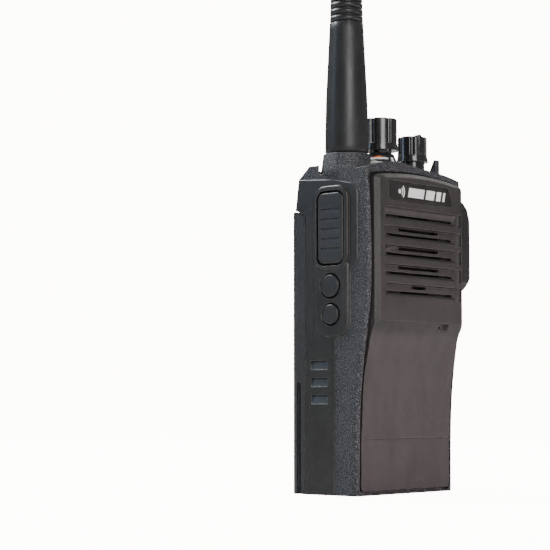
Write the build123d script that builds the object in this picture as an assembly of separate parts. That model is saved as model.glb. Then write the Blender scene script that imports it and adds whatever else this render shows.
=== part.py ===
from build123d import *
import os
from math import cos, radians, sin

# A hand-held two-way radio with a helical antenna, a slide-off battery and a belt clip.
# Frame: origin on the resting face below the volume control, +X to the right as seen from the
# front, the speaker side facing -Y, +Z up. All sizes are in millimetres.

# Overall casing
HALF_W = 29.0            # half width of the casing
SEAM_Y = 12.0            # plane where the front housing ends and the battery begins
BACK_Y = 20.6            # rear face of the battery
SIDE_WALL = 2.6          # side walls of the housing
FLOOR = 2.5              # bottom wall
DECK_Z = 116.8           # deck that carries the knobs
RIDGE_Y = -10.4          # back of the raised front edge
CAVITY_Z = 101.0         # the inside is open to the back below this height
STEP = [(16.9, 103.4), (SEAM_Y, 101.6)]   # underside of the overhang above the battery
STEP_R = 3.0
TOP_LIMIT = 122.0        # height that the casing blank is drawn to before it is trimmed
# Front edge of the side walls, (y, z): slim grip below, fuller speaker section above
RIM = [(-11.3, -2.0), (-11.5, 20.0), (-12.2, 36.0), (-14.1, 52.0), (-16.4, 67.0), (-17.2, 84.0),
       (-16.9, 100.0), (-15.6, TOP_LIMIT)]

# Front wall build-up, measured inwards from the rim
RECESS = 1.6             # depth of the recess that holds the speaker panel
FRONT_WALL = 1.6         # wall behind that recess
GROOVE = 0.9             # open groove round the speaker panel

# Speaker panel
PANEL_HALF_W = 26.5
PANEL_Z0 = 1.7
PANEL_EDGE_Z = 114.4     # height of the arched top edge at the sides
PANEL_TOP_Z = 116.4      # and in the middle
PLATEAU_Y = -19.2        # raised flat that carries the louvres
CREASE_Z = 62.5          # lower end of the raised flat
PANEL_BEVEL = 1.5
LOUVRES = 5
LOUVRE_PITCH = 6.88
LOUVRE_LOW_Z = 98.85     # lower edge of the top louvre
LOUVRE_H = 4.55
LOUVRE_X = (-22.4, 23.6)
STEP_END_X = 25.0        # right end of the shallow step beside each louvre
STEP_DEPTH = 0.35
LOUVRE_TAPER = 2.5       # slope of the ends, from the face to the back wall
LOUVRE_FLOOR_Y = -17.5   # back wall of a louvre
BADGE_GAP = 0.3
BADGE_DEPTH = 0.9
WINDOW_HALF_W = [0.0, 12.3, 12.3, 12.3, 4.4]   # half widths of the slots under each top edge

# Speaker and microphone
SPEAKER_Z = 87.0
SPEAKER_R = 18.0
SPEAKER_FRONT_Y = -13.15
MIC_X = 14.2
MIC_Z = 60.9

# Left side controls: outer faces as distances from the middle of the casing
FRAME_OUT = 29.4         # face of the smooth side frames
FRAME_IN = 27.8          # their inner face, let into the housing
ISLAND_OUT = 29.9        # raised island round the keys
BEZEL_OUT = 30.6         # rim round the push-to-talk key
KEY_OUT = 30.75
PTT_Y = -0.6
PTT_Z = 95.9
PTT_SIZE = (11.8, 26.0)
PTT_CORNER_R = 2.9
KEY_GAP = 0.6
BUTTONS = {"upper_side_button": (0.0, 75.1, 4.1), "lower_side_button": (-0.2, 64.8, 3.65)}
BUTTON_GAP = 0.35
FRAME_FRONT_Y = -1.5     # front edge of the side frames along the grip
NOTCH_TOPS = [48.25, 42.1, 35.9]
NOTCH_Y = (1.65, 9.4)
NOTCH_H = 3.2
NOTCH_DEPTH = 1.0

# Top controls
ANTENNA_X = -20.0
CHANNEL_X = 20.0
COLLAR_R = 8.6
COLLAR_Z = 123.5
COLLAR_FOOT_R = 9.7
COLLAR_FOOT_Z = 115.5
SHAFT_R = 2.0
SHAFT_GAP = 0.05
PRESS_GAP = 0.01         # knobs are pressed on their shafts
BUSHING_R = 3.4
VOLUME_KNOB_Z = (127.0, 139.0)
CHANNEL_KNOB_Z = (124.7, 134.4)
KNOB_SKIRT = 2.6         # plain skirt below the lobes
KNOB_LOBES = 6
FLUTE_R = 0.95
FLUTE_EDGE_R = 0.45
VOLUME_PHASE = -82.0     # direction of one lobe, degrees from +X
CHANNEL_PHASE = -112.5   # direction of the pointer
SCALE_TOP_Z = 125.8      # top of the conical scale ring

LENS_X = (-19.6, -3.8)
LENS_Z = 120.6

# Antenna
THREAD_R = 2.9
SHEATH_Z = 123.9
RIBBED_Z = 172.0
RIB_PITCH = 2.48
RIBS = 13
ANTENNA_TOP_Z = 272.0

# Battery
TRAY_HALF_W = 21.0       # inner tray that reaches into the housing
TRAY_Y = 8.0
TRAY_Z = (0.4, 96.5)
CHASSIS_Y = (5.4, 7.4)
RAIL_Z = (20.0, 92.0)
SLIDE_GAP = 0.3
BATTERY_CORNER_R = 4.5
LABEL_W = 38.0
LABEL_Z = (19.0, 42.0)
CONTACT_X = [-9.0, -3.0, 3.0, 9.0]
GUIDE_Z = 40.6           # top of the charger guide groove
# Screws that hold the chassis, (x, z): two rows in the flanges and one in the top wall
CHASSIS_SCREWS = [(-24.2, 8.0), (24.2, 8.0), (-24.2, 50.0), (24.2, 50.0), (-17.0, 98.9), (17.0, 98.9)]

# Accessory cover on the right side
COVER_Z = (75.4, 110.0)
COVER_Y = (-15.5, 1.2)
COVER_OUT = 36.0
COVER_PIVOT = (30.95, 3.0)
JACKS = {"earphone_jack": (93.0, 1.78), "microphone_jack": (81.0, 1.28)}
JACK_Y = -5.0

# Belt clip
CLIP_PIVOT = (22.4, 108.6)
CLIP_PIN_R = 1.0
CLIP_HALF_W = 8.9
CLIP_TIP_Z = 46.0


def block(x0, x1, y0, y1, z0, z1):
    """A box between two opposite corners."""
    return Pos((x0 + x1) / 2, (y0 + y1) / 2, (z0 + z1) / 2) * Box(x1 - x0, y1 - y0, z1 - z0)


def rod_x(y, z, x0, x1, r):
    """A round bar along X."""
    return Pos((x0 + x1) / 2, y, z) * Rot(0, 90, 0) * Cylinder(r, x1 - x0)


def rod_y(x, z, y0, y1, r):
    """A round bar along Y."""
    return Pos(x, (y0 + y1) / 2, z) * Rot(90, 0, 0) * Cylinder(r, y1 - y0)


def rod_z(x, y, z0, z1, r):
    """A round bar along Z."""
    return Pos(x, y, (z0 + z1) / 2) * Cylinder(r, z1 - z0)


def slab_x(face, x0, x1):
    """An outline drawn in (y, z), run from x0 to x1."""
    return extrude(Plane.YZ.offset(x0) * face, x1 - x0, dir=(1, 0, 0))


def slab_y(face, y0, y1):
    """An outline drawn in (x, z), run from y0 to y1."""
    return extrude(Plane.XZ.offset(-y0) * face, y1 - y0, dir=(0, 1, 0))


def slab_z(face, z0, z1):
    """An outline drawn in (x, y), run from z0 to z1."""
    return extrude(Plane.XY.offset(z0) * face, z1 - z0, dir=(0, 0, 1))


def outline(*points):
    """A flat polygon through the given points."""
    return Polygon(*points, align=None)


def rim_curve(inset):
    return Spline(*[(y + inset, z) for y, z in RIM])


def behind_rim(inset, rear):
    """The (y, z) region from the rim, moved in by inset, back to a line or polyline of points."""
    front = rim_curve(inset)
    tail = [front @ 1] + rear + [front @ 0]
    return make_face([front, Polyline(*tail)])


def mirror_x(shape):
    return mirror(shape, Plane.YZ)


def rounded(face, corners):
    """Round chosen corners of a flat face; each corner is ((u, v), radius)."""
    for (u, v), r in corners:
        face = fillet(face.vertices().sort_by_distance((u, v, 0))[0], r)
    return face


def arched(half_w, z0, edge_z, top_z, corner_r):
    """An (x, z) outline with straight sides and a gently arched top edge."""
    sides = Polyline((-half_w, edge_z), (-half_w, z0), (half_w, z0), (half_w, edge_z))
    arch = ThreePointArc((half_w, edge_z), (0, top_z), (-half_w, edge_z))
    face = make_face([sides, arch])
    return fillet(face.vertices(), corner_r)


def rounded_x(y, z, width, height, r, x0, x1):
    """A rounded rectangle in (y, z), run along X."""
    return slab_x(Pos(y, z) * RectangleRounded(width, height, r), x0, x1)


# ---------------------------------------------------------------- casing

def casing_blank():
    """The outside of the housing before anything is cut from it."""
    rear = [(7.7, TOP_LIMIT), (15.4, 114.7)] + STEP + [(SEAM_Y, -2.0)]
    face = rounded(behind_rim(0, rear), [(STEP[1], STEP_R)])
    side_view = slab_x(face, -HALF_W, HALF_W)
    blank = side_view & block(-HALF_W, HALF_W, -25, 25, 0, TOP_LIMIT)
    # the front edge is arched across, the deck behind it rises gently towards the back
    crown = Spline((HALF_W, 116.6), (16, 118.7), (3, 119.6), (-14, 120.4), (-22, 119.0), (-HALF_W, 116.9))
    above = Polyline((-HALF_W, 116.9), (-HALF_W, TOP_LIMIT + 1), (HALF_W, TOP_LIMIT + 1), (HALF_W, 116.6))
    blank -= slab_y(make_face([crown, above]), -25, RIDGE_Y)
    deck = outline((RIDGE_Y, 117.6), (-5.0, 118.6), (4.8, 119.3), (10.4, 119.3), (15.4, 114.7), (20, 112),
                   (20, TOP_LIMIT + 1), (RIDGE_Y, TOP_LIMIT + 1))
    blank -= slab_x(rounded(deck, [((-5.0, 118.6), 12.0), ((10.4, 119.3), 1.2)]), -HALF_W, HALF_W)
    corners = [e for e in blank.edges() if abs(abs(e.center().X) - HALF_W) < 0.01
               and e.center().Y < -10 and e.length > 100]
    return fillet(corners, 1.5)


def frame_outline(front):
    """A smooth side strip: its back edge follows the housing, its front edge is a list of points."""
    return outline((SEAM_Y, 0), STEP[1], STEP[0], (15.4, 114.7), *front, (FRAME_FRONT_Y, 0))


def left_frame_outline():
    """Full height at the back, reaching forward round the keys."""
    face = frame_outline([(-1.0, 113.7), (-12.3, 111.2), (-12.3, 83.2), (-9.1, 80.2), (-8.9, 56.2),
                          (FRAME_FRONT_Y, 55.8)])
    return rounded(face, [(STEP[1], STEP_R), ((-1.0, 113.7), 12.0), ((-12.3, 111.2), 4.5),
                          ((-12.3, 83.2), 3.0), ((-9.1, 80.2), 2.0), ((-8.9, 56.2), 5.4),
                          ((FRAME_FRONT_Y, 55.8), 1.0)])


def right_frame_outline():
    face = frame_outline([(6.5, 113.9), (6.5, 60.0), (FRAME_FRONT_Y, 52.0)])
    return rounded(face, [(STEP[1], STEP_R), ((6.5, 113.9), 3.0), ((6.5, 60.0), 6.0),
                          ((FRAME_FRONT_Y, 52.0), 6.0)])


def grip_notches(x_face, inward):
    """Wedge cuts, deepest at their upper ends."""
    cuts = []
    for top in NOTCH_TOPS:
        wedge = outline((x_face - inward, top), (x_face + inward * NOTCH_DEPTH, top),
                        (x_face + inward * 0.15, top - NOTCH_H), (x_face - inward, top - NOTCH_H))
        cuts.append(slab_y(wedge, *NOTCH_Y))
    return cuts


def front_housing():
    body = casing_blank()
    # recess for the speaker panel, with the groove round it
    floor_line = rim_curve(RECESS)
    front_of_floor = make_face([floor_line, Polyline(floor_line @ 1, (-40, TOP_LIMIT), (-40, -2),
                                                     floor_line @ 0)])
    window = arched(PANEL_HALF_W + GROOVE, PANEL_Z0 - GROOVE, PANEL_EDGE_Z + GROOVE,
                    PANEL_TOP_Z + GROOVE, 2.2)
    body -= slab_x(front_of_floor, -HALF_W, HALF_W) & slab_y(window, -40, 0)
    # inside
    wall_x = HALF_W - SIDE_WALL
    inset = RECESS + FRONT_WALL
    hollow = slab_x(behind_rim(inset, [(SEAM_Y + 1, TOP_LIMIT), (SEAM_Y + 1, -2)]), -wall_x, wall_x)
    body -= hollow & block(-wall_x, wall_x, -20, SEAM_Y + 1, FLOOR, CAVITY_Z)
    body -= hollow & block(-wall_x, wall_x, -20, 9.5, CAVITY_Z - 1, 113.4)
    # way out for the battery tray and its rails through the bottom wall
    body -= block(-TRAY_HALF_W - 2.1, TRAY_HALF_W + 2.1, CHASSIS_Y[1], SEAM_Y + 1, -1, FLOOR + 1)
    body -= block(-5.3, 5.3, 5.6, CHASSIS_Y[1] + 0.1, -1, FLOOR + 1)
    # valley round the antenna collar, and the collar itself
    body -= rod_z(ANTENNA_X, 1.8, 116.0, TOP_LIMIT, 9.8)
    body += rod_z(ANTENNA_X, 0, 112.0, COLLAR_Z, COLLAR_R)
    body += Pos(ANTENNA_X, 0, (COLLAR_FOOT_Z + COLLAR_Z) / 2) * Cone(COLLAR_FOOT_R, COLLAR_R,
                                                                     COLLAR_Z - COLLAR_FOOT_Z)
    body -= rod_z(ANTENNA_X, 0, 100, COLLAR_Z + 1, 4.05)
    # side strips are let into the side walls
    body -= slab_x(left_frame_outline(), -HALF_W - 1, -FRAME_IN)
    body -= slab_x(right_frame_outline(), FRAME_IN, HALF_W + 1)
    # openings for the keys and jacks
    body -= rounded_x(PTT_Y, PTT_Z, 9.0, 22.0, 2.0, -FRAME_IN - 1, -20)
    for y, z, r in BUTTONS.values():
        body -= rod_x(y, z, -FRAME_IN - 1, -20, r - 0.6)
    for z, r in JACKS.values():
        body -= rod_x(JACK_Y, z, 20, HALF_W + 1, 3.4)
    # speaker and microphone openings in the front wall
    body -= rod_y(0, SPEAKER_Z, -30, -10, SPEAKER_R - 1.5)
    body -= rod_y(MIC_X, MIC_Z, -30, -10, 0.8)
    # deck behind the front edge, flat pad for the clip bracket
    body -= block(-9.5, 26.2, -12.4, 11.0, DECK_Z, TOP_LIMIT)
    body -= block(-11.2, 11.2, 15.2, 20, 104.9, 114.2)
    for x in (0, CHANNEL_X):
        body -= rod_z(x, 0, 110, DECK_Z + 1, BUSHING_R + 0.02)
    body -= block(*LENS_X, -12.4, -10.6, 111, TOP_LIMIT)
    # guard fin beside the channel knob
    fin = outline((-6.4, 116.0), (-6.4, 125.9), (-5.5, 125.9), (-3.6, 121.6), (-0.4, 119.6), (-0.4, 116.0))
    body += slab_x(rounded(fin, [((-3.6, 121.6), 2.5)]), 26.2, 28.7)
    # screw bosses, reaching from the front wall or the side walls to the chassis
    for x, z in CHASSIS_SCREWS:
        boss = rod_y(x, z, -14.0 if abs(x) < 20 else -8.0, CHASSIS_Y[0], 1.85)
        if abs(x) > 20:
            web = sorted((x, (wall_x + 0.2) * x / abs(x)))
            boss += block(*web, -8.0, CHASSIS_Y[0], z - 1.0, z + 1.0)
        body += boss
        body -= rod_y(x, z, -2.0, CHASSIS_Y[0] + 1, 1.02)
    # clip screw holes
    for x in (-6.0, 6.0):
        body -= rod_y(x, 108.6, 9.6, 16, 1.02)
    return body


def side_frame_body(face, rounding=0.3):
    plate = slab_x(face, -FRAME_OUT, -FRAME_IN)
    outer = plate.faces().sort_by(Axis.X)[0]
    return chamfer(outer.edges(), rounding)


def left_side_frame():
    body = side_frame_body(left_frame_outline())
    island = rounded(outline((-8.2, 83.0), (-8.2, 56.7), (6.8, 56.7), (7.2, 83.0)),
                     [((-8.2, 56.7), 5.2), ((6.8, 56.7), 5.2)])
    raised = slab_x(island, -ISLAND_OUT, -FRAME_IN)
    raised = chamfer(raised.faces().sort_by(Axis.X)[0].edges(), 0.35)
    body += raised
    rim = rounded_x(PTT_Y, PTT_Z + 0.4, 16.0, 30.2, 5.0, -BEZEL_OUT, -FRAME_IN)
    rim = fillet(rim.faces().sort_by(Axis.X)[0].edges(), 0.9)
    body += rim
    body -= rounded_x(PTT_Y, PTT_Z, PTT_SIZE[0] + 2 * KEY_GAP, PTT_SIZE[1] + 2 * KEY_GAP,
                      PTT_CORNER_R + KEY_GAP, -40, -20)
    for y, z, r in BUTTONS.values():
        cup = rod_x(y, z, -40, -20, r + BUTTON_GAP)
        flare = Pos(-ISLAND_OUT, y, z) * Rot(0, 90, 0) * Cone(r + 1.1, r + BUTTON_GAP, 0.9)
        body -= cup
        body -= flare
    for cut in grip_notches(-FRAME_OUT, 1):
        body -= cut
    return body


def right_side_frame():
    body = mirror_x(side_frame_body(right_frame_outline()))
    for cut in grip_notches(FRAME_OUT, -1):
        body -= cut
    return body


def speaker_panel():
    brow = Polyline((PLATEAU_Y, TOP_LIMIT), (PLATEAU_Y, CREASE_Z))
    scoop = Spline((PLATEAU_Y, CREASE_Z), (-17.0, 59.4), (-15.15, 53.0), (-13.5, 45.0), (-12.45, 36.0),
                   (-11.75, 20.0), (-11.5, -2.0), tangents=[(0.62, -0.78), (0.0, -1.0)])
    back = rim_curve(RECESS)
    top = Polyline(back @ 1, (PLATEAU_Y, TOP_LIMIT))
    bottom = Polyline((-11.5, -2.0), back @ 0)
    body = slab_x(make_face([brow, scoop, bottom, back, top]), -PANEL_HALF_W, PANEL_HALF_W)
    body &= slab_y(arched(PANEL_HALF_W, PANEL_Z0, PANEL_EDGE_Z, PANEL_TOP_Z, 1.6), -30, 0)
    raised = [e for e in body.edges()
              if abs(e.center().Y - PLATEAU_Y) < 0.01 and e.center().Z > CREASE_Z + 1]
    body = chamfer(raised, PANEL_BEVEL)
    for row in range(LOUVRES):
        body -= louvre(row)
    # badge recess, with a slanted right end
    body -= slab_y(badge_outline(0), -30, PLATEAU_Y + BADGE_DEPTH)
    # microphone port
    port = outline((11.8, 59.8), (17.5, 59.8), (16.6, 62.2), (11.0, 62.2))
    body -= slab_y(port, -30, -16.4)
    body -= rod_y(MIC_X, MIC_Z, -20, -10, 0.6)
    return body


def louvre(row):
    """One recess: tapered ends, a long slot, a sloped lower lip and a slot under its top edge."""
    low = LOUVRE_LOW_Z - row * LOUVRE_PITCH
    top = low + LOUVRE_H
    front = PLATEAU_Y - 0.01
    section = outline((front, top), (LOUVRE_FLOOR_Y, top - 0.25), (LOUVRE_FLOOR_Y, top - 3.4), (front, low))
    x0, x1 = LOUVRE_X
    floor_y = LOUVRE_FLOOR_Y + 0.01
    taper = outline((x0, front), (x1, front), (x1 - LOUVRE_TAPER, floor_y), (x0 + LOUVRE_TAPER, floor_y))
    cut = slab_x(section, x0, x1) & slab_z(taper, low - 1, top + 1)
    # shallow step that runs on to a narrow gap at the right end
    cut += block(x1 - LOUVRE_TAPER, STEP_END_X, front, PLATEAU_Y + STEP_DEPTH, low - 0.5, top)
    cut += block(STEP_END_X - 0.45, STEP_END_X, front, PLATEAU_Y + 1.2, low - 0.5, top)
    slot_end = LOUVRE_TAPER + 0.3
    cut += block(x0 + slot_end, x1 - slot_end, LOUVRE_FLOOR_Y - 0.1, -10, top - 3.45, top - 2.6)
    half = WINDOW_HALF_W[row]
    if half:
        cut += block(-half, half, LOUVRE_FLOOR_Y - 0.1, -10, top - 1.6, top - 0.4)
    return cut


def badge_outline(inset):
    face = outline((-20.0, 105.9), (19.9, 105.9), (16.4, 112.9), (-20.0, 112.9))
    face = fillet(face.vertices(), 1.6)
    if inset:
        face = offset(face, -inset)
    return face


def badge_plate():
    return slab_y(badge_outline(BADGE_GAP), PLATEAU_Y + 0.3, PLATEAU_Y + BADGE_DEPTH)


# ---------------------------------------------------------------- sound

def speaker_felt():
    return rod_y(0, SPEAKER_Z, SPEAKER_FRONT_Y - 1.5, SPEAKER_FRONT_Y - 1.0, SPEAKER_R - 1.6)


def speaker_frame():
    ring = rod_y(0, SPEAKER_Z, SPEAKER_FRONT_Y, SPEAKER_FRONT_Y + 1.4, SPEAKER_R)
    basket = Pos(0, SPEAKER_FRONT_Y + 3.4, SPEAKER_Z) * Rot(-90, 0, 0) * Cone(16.5, 11.0, 4.2)
    hollow = Pos(0, SPEAKER_FRONT_Y + 3.0, SPEAKER_Z) * Rot(-90, 0, 0) * Cone(15.9, 10.2, 4.2)
    body = ring + basket - hollow
    return body - rod_y(0, SPEAKER_Z, SPEAKER_FRONT_Y - 1, SPEAKER_FRONT_Y + 1.4, SPEAKER_R - 2.2)


def speaker_magnet():
    return rod_y(0, SPEAKER_Z, SPEAKER_FRONT_Y + 5.55, SPEAKER_FRONT_Y + 9.5, 8.5)


def speaker_cone():
    start = SPEAKER_FRONT_Y + 0.3
    outer = Pos(0, start + 2.0, SPEAKER_Z) * Rot(-90, 0, 0) * Cone(14.6, 7.0, 4.0)
    inner = Pos(0, start + 1.5, SPEAKER_Z) * Rot(-90, 0, 0) * Cone(14.6, 7.0, 4.0)
    return outer - inner + rod_y(0, SPEAKER_Z, start + 3.2, start + 4.0, 7.4)


def microphone():
    return rod_y(MIC_X, MIC_Z, -10.5, -8.0, 3.0)


def microphone_boot():
    body = rod_y(MIC_X, MIC_Z, -11.2, -7.6, 4.2)
    body -= rod_y(MIC_X, MIC_Z, -10.5, -7.0, 3.0)
    return body - rod_y(MIC_X, MIC_Z, -13, -10, 0.8)


# ---------------------------------------------------------------- side keys

def ptt_key():
    width, height = PTT_SIZE
    cap = rounded_x(PTT_Y, PTT_Z, width, height, PTT_CORNER_R, -KEY_OUT, -28.9)
    cap = fillet(cap.faces().sort_by(Axis.X)[0].edges(), 0.9)
    for index in range(LOUVRES):
        z = PTT_Z + 6.4 - 3.55 * index
        groove = outline((-KEY_OUT - 1, z + 0.75), (-KEY_OUT + 0.6, z + 0.75), (-KEY_OUT, z - 0.7),
                         (-KEY_OUT - 1, z - 0.7))
        cap -= slab_y(groove, PTT_Y - 4.2, PTT_Y + 4.4)
    return cap + rounded_x(PTT_Y, PTT_Z, 6.0, 14.0, 1.5, -28.9, -27.0)


def side_button(y, z, r):
    cap = rod_x(y, z, -30.5, -28.5, r)
    cap = fillet(cap.edges().sort_by(Axis.X)[0], 0.7)
    return cap + rod_x(y, z, -28.5, -27.0, 1.6)


def ptt_seal():
    """One rubber moulding with a raised border behind all three keys."""
    body = block(-26.4, -25.3, -8.2, 5.2, 58.5, 111.5)
    return body - block(-26.5, -25.9, -7.0, 4.3, 59.7, 110.3)


def side_key_board():
    return block(-24.6, -23.6, -8.0, 1.4, 59.0, 108.0)


def side_switches():
    places = [(-0.6, 95.9), (0.0, 75.1), (-0.2, 64.8)]
    return [Pos(-24.9, y - 1.0, z) * Rot(0, 90, 0) * Cylinder(2.2, 0.6) for y, z in places]


# ---------------------------------------------------------------- right side

def jack(z, bore_r):
    body = rod_x(JACK_Y, z, 15.5, 28.2, 3.2)
    return body - rod_x(JACK_Y, z, 16.5, 29, bore_r)


def accessory_cover():
    x0 = FRAME_OUT - 0.15
    side = outline((COVER_Y[0], COVER_Z[0] + 3.5), (COVER_Y[0] + 1.5, COVER_Z[0]), (COVER_Y[1], COVER_Z[0]),
                   (COVER_Y[1], COVER_Z[1]), (COVER_Y[0] + 1.5, COVER_Z[1]), (COVER_Y[0], COVER_Z[1] - 3.5))
    front = outline((x0, COVER_Z[0]), (COVER_OUT - 2.6, COVER_Z[0] + 0.4), (COVER_OUT, COVER_Z[0] + 5.0),
                    (COVER_OUT, COVER_Z[1] - 7.4), (COVER_OUT - 2.6, COVER_Z[1] - 0.6), (x0, COVER_Z[1]))
    front = rounded(front, [((COVER_OUT - 2.6, COVER_Z[0] + 0.4), 1.5), ((COVER_OUT, COVER_Z[0] + 5.0), 4.0),
                            ((COVER_OUT, COVER_Z[1] - 7.4), 4.0),
                            ((COVER_OUT - 2.6, COVER_Z[1] - 0.6), 1.5)])
    body = slab_x(side, x0, COVER_OUT) & slab_y(front, COVER_Y[0], COVER_Y[1])
    body = fillet(body.edges().filter_by(lambda e: e.center().X > x0 + 0.2 and e.center().Y < 0.9), 0.7)
    body -= block(x0 - 1, COVER_OUT - 1.6, COVER_Y[0] + 1.6, COVER_Y[1] - 1.4, COVER_Z[0] + 5,
                  COVER_Z[1] - 6)
    x, y = COVER_PIVOT
    body += block(x - 1.0, x + 1.4, COVER_Y[1] - 0.2, y, 81.0, 105.0)
    body += rod_z(x, y, 81.0, 105.0, 1.5)
    return body - rod_z(x, y, 80, 106, 0.85)


def hinge_lugs():
    x, y = COVER_PIVOT
    lugs = []
    for z0, z1 in ((77.6, 80.7), (105.3, 108.4)):
        lug = rod_z(x, y, z0, z1, 1.5) + block(HALF_W - 0.5, x, y - 1.5, y + 1.5, z0, z1)
        lugs.append(lug - rod_z(x, y, z0 - 1, z1 + 1, 0.8))
    return lugs


def accessory_hinge_pin():
    x, y = COVER_PIVOT
    return rod_z(x, y, 77.8, 108.2, 0.8)


# ---------------------------------------------------------------- top controls

def lobed_outline(r, phase):
    """A circle in (x, y) with narrow flutes between broad lobes; one lobe points at phase degrees."""
    face = make_face(Edge.make_circle(r))
    for index in range(KNOB_LOBES):
        angle = radians(phase + 360 / KNOB_LOBES * (index + 0.5))
        face -= Pos((r + FLUTE_R / 4) * cos(angle), (r + FLUTE_R / 4) * sin(angle)) * Circle(FLUTE_R)
    return fillet(face.vertices(), FLUTE_EDGE_R)


def knob(x, span, r_low, r, phase):
    """A push-on knob: flared skirt, lobed grip, dished top and a plain bore."""
    z0, z1 = span
    body = Pos(x, 0) * slab_z(lobed_outline(r, phase), z0 + KNOB_SKIRT, z1)
    body = fillet(body.edges().group_by(Axis.Z)[-1], 0.5)
    body += Pos(x, 0, z0 + KNOB_SKIRT / 2) * Cone(r_low, r, KNOB_SKIRT)
    body -= Pos(x, 0, z1) * Cone(r - 2.6, r - 1.8, 0.8)
    return body - rod_z(x, 0, z0 - 1, z1 - 2.5, SHAFT_R + PRESS_GAP)


def volume_knob():
    z0 = VOLUME_KNOB_Z[0]
    body = knob(0, VOLUME_KNOB_Z, 6.8, 6.35, VOLUME_PHASE)
    return body + (rod_z(0, 0, z0 - 0.8, z0, 4.2) - rod_z(0, 0, z0 - 2, z0 + 1, SHAFT_R + PRESS_GAP))


def channel_knob():
    """The lower knob, with a raised pointer on one lobe."""
    z0, z1 = CHANNEL_KNOB_Z
    r = 5.6
    body = knob(CHANNEL_X, CHANNEL_KNOB_Z, 6.1, r, CHANNEL_PHASE)
    pointer = block(r - 3.4, r + 0.35, -0.65, 0.65, z0 + KNOB_SKIRT, z1 + 0.45)
    pointer = fillet(pointer.edges().filter_by(Axis.Z).sort_by(Axis.X)[-2:], 0.4)
    body += Pos(CHANNEL_X, 0) * Rot(0, 0, CHANNEL_PHASE) * pointer
    neck = rod_z(CHANNEL_X, 0, 121.4, z0, 4.6)
    return body + (neck - rod_z(CHANNEL_X, 0, 120, z0 + 1, SHAFT_R + PRESS_GAP))


def shaft(x, top):
    return rod_z(x, 0, 109.0, top, SHAFT_R)


def rotary_body(x):
    """Control body below the deck with a threaded bushing through it."""
    body = block(x - 6, x + 6, -6, 6, 108.6, 113.4) + rod_z(x, 0, 113.4, 121.0, BUSHING_R)
    return body - rod_z(x, 0, 108.0, 122, SHAFT_R + SHAFT_GAP)


def control_nuts():
    nuts = []
    for x in (0, CHANNEL_X):
        hexagon = slab_z(Pos(x, 0) * RegularPolygon(5.0, 6), DECK_Z, DECK_Z + 2.0)
        nuts.append(hexagon - rod_z(x, 0, DECK_Z - 1, DECK_Z + 3, BUSHING_R + 0.02))
    return nuts


def scale_ring():
    """Conical ring below the volume knob that carries the loudness scale."""
    foot = DECK_Z + 1.6
    body = Pos(0, 0, (foot + SCALE_TOP_Z) / 2) * Cone(8.2, 5.0, SCALE_TOP_Z - foot)
    body += rod_z(0, 0, DECK_Z, foot, 8.2)
    body -= rod_z(0, 0, DECK_Z - 1, 121.3, 5.15)
    return body - rod_z(0, 0, 120, 128, 3.0)


def status_lens():
    body = block(*LENS_X, -12.4, -10.6, 112.0, LENS_Z)
    return fillet(body.edges().group_by(Axis.Z)[-1], 0.6)


def status_lamp():
    return block(-14.0, -11.0, -12.3, -10.7, 110.0, 111.8)


# ---------------------------------------------------------------- antenna

def antenna_socket():
    body = rod_z(ANTENNA_X, 0, 109.0, COLLAR_Z - 0.1, 4.0)
    return body - rod_z(ANTENNA_X, 0, 111.0, COLLAR_Z + 1, THREAD_R + SHAFT_GAP)


def antenna_plug():
    body = rod_z(ANTENNA_X, 0, 114.0, SHEATH_Z + 0.1, THREAD_R)
    return body + rod_z(ANTENNA_X, 0, SHEATH_Z + 0.1, SHEATH_Z + 5.0, 4.2)


def antenna_profile():
    """Half section in (r, z): smooth taper, saw-tooth ribs, then a slim whip with a round tip."""
    points = [(2.6, SHEATH_Z + 5.2), (4.3, SHEATH_Z + 5.2), (4.3, SHEATH_Z), (7.4, SHEATH_Z),
              (7.95, SHEATH_Z + 0.6), (7.9, 132.0), (7.6, 144.0), (6.9, 158.0), (6.2, RIBBED_Z)]
    z = RIBBED_Z
    for index in range(RIBS):
        outer = 6.15 - 0.085 * index
        points += [(outer - 0.9, z + 0.02), (outer - 0.85, z + 0.55), (outer, z + 0.75),
                   (outer - 0.12, z + RIB_PITCH)]
        z += RIB_PITCH
    points += [(4.6, z + 0.5), (4.5, z + 12.0), (3.6, ANTENNA_TOP_Z - 3.2)]
    tip = ThreePointArc((3.6, ANTENNA_TOP_Z - 3.2), (2.6, ANTENNA_TOP_Z - 0.9), (0.6, ANTENNA_TOP_Z))
    bore = Polyline((0.6, ANTENNA_TOP_Z), (0, ANTENNA_TOP_Z), (0, ANTENNA_TOP_Z - 8.0),
                    (2.6, ANTENNA_TOP_Z - 8.0), (2.6, SHEATH_Z + 5.2))
    return make_face([Polyline(*points), tip, bore])


def antenna_sheath():
    body = revolve(Plane.XZ * antenna_profile(), Axis.Z)
    return Pos(ANTENNA_X, 0, 0) * body


def antenna_coil():
    return rod_z(ANTENNA_X, 0, SHEATH_Z + 5.2, ANTENNA_TOP_Z - 9.0, 2.5)


# ---------------------------------------------------------------- inside

def main_board():
    return block(-22.2, 22.2, 2.2, 3.4, 8.0, 96.0)


def rf_shield():
    body = block(-19.0, 19.0, 3.4, 5.2, 20.0, 62.0)
    return body - block(-18.5, 18.5, 3.3, 4.7, 20.5, 61.5)


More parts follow.
